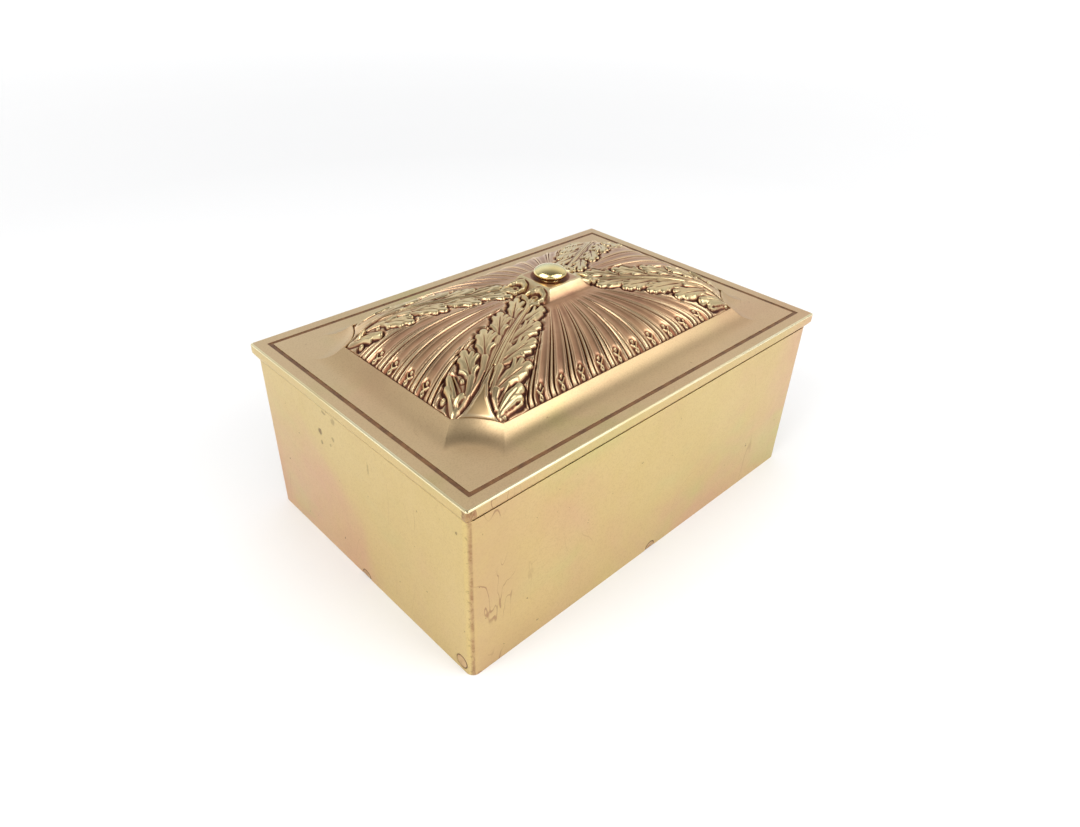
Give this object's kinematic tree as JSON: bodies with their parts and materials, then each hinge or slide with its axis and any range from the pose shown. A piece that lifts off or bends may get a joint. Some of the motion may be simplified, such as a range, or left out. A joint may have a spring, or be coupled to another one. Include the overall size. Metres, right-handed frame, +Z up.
{
  "type": "vanity trinket box",
  "caption": "Rectangular gilt-bronze trinket box with straight sides, velvet lining and a hinged lid that carries a leaf-and-flute relief and a small knob.",
  "frame": {"origin": "middle of the flat underside", "axes": "+X along the long side, -Y is the front, +Y is the hinge side, +Z up"},
  "size_m": [0.184, 0.1267, 0.099],
  "materials": {
    "gilt_bronze": "satin gilt bronze, slightly mottled and worn",
    "relief_bronze": "gilt bronze with red-brown patina left in the recesses",
    "polished_brass": "polished",
    "hinge_bronze": "satin, slightly darkened",
    "velvet": "deep red velvet"
  },
  "bodies": {
    "case": {"case_walls": "gilt_bronze", "base_pan": "gilt_bronze", "base_pins": "gilt_bronze", "floor_pad": "velvet", "front_lining": "velvet", "back_lining": "velvet", "left_lining": "velvet", "right_lining": "velvet", "left_case_knuckles": "hinge_bronze", "right_case_knuckles": "hinge_bronze", "left_hinge_pin": "polished_brass", "right_hinge_pin": "polished_brass"},
    "lid": {"lid_plate": "gilt_bronze", "relief_panel": "relief_bronze", "panel_screws": "polished_brass", "knob": "polished_brass", "knob_collar": "polished_brass", "knob_washer": "polished_brass", "knob_nut": "polished_brass", "lid_lining": "velvet", "left_lid_knuckles": "hinge_bronze", "right_lid_knuckles": "hinge_bronze"}
  },
  "joints": [
    {"name": "lid_hinge", "type": "hinge", "parent": "case", "child": "lid", "pos_m": [0, 0.06135, 0.06755], "axis": [-1, 0, 0], "range_deg": [0, 100]}
  ]
}
